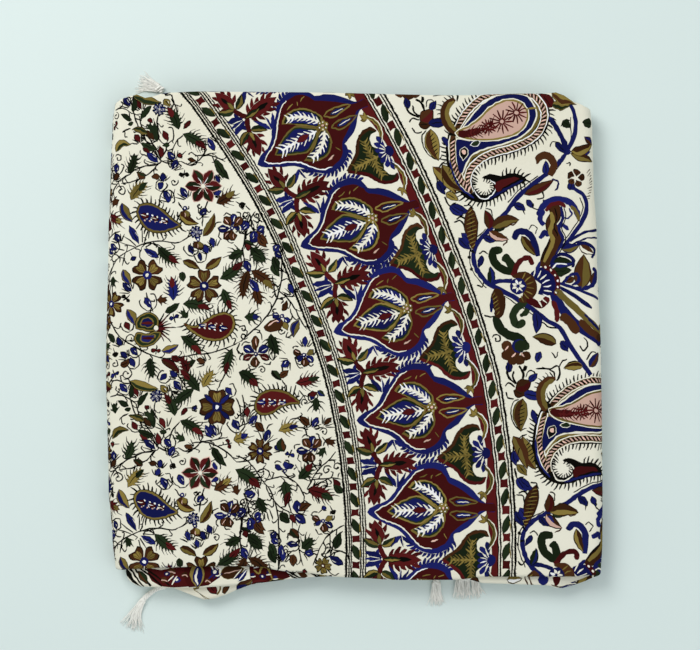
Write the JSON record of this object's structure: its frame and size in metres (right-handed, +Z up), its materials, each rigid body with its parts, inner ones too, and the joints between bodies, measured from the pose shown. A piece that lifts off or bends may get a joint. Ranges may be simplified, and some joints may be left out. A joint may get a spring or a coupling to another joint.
{
  "type": "folded kalamkari panel",
  "caption": "Square block-printed cotton panel, folded into a soft flat stack, with knotted yarn tassels at its edge.",
  "frame": {"origin": "on the surface the stack lies on, under the middle of the box round the cloth and its tassels", "axes": "X to the right across the stack, from its folded spine to its other side; Y from the front edge to the back edge; Z up through the layers"},
  "size_m": [0.3622, 0.4162, 0.023],
  "materials": {
    "printed_cotton": "plain-woven cotton with a matt vegetable-dye print in burgundy, indigo, olive, ochre and black on cream",
    "tassel_yarn": "unbleached matt cotton yarn"
  },
  "bodies": {
    "root": {"cloth": "printed_cotton", "tassel_front_left": "tassel_yarn", "tassel_front_middle": "tassel_yarn", "tassel_front_right": "tassel_yarn", "tassel_back_left": "tassel_yarn"}
  },
  "joints": []
}
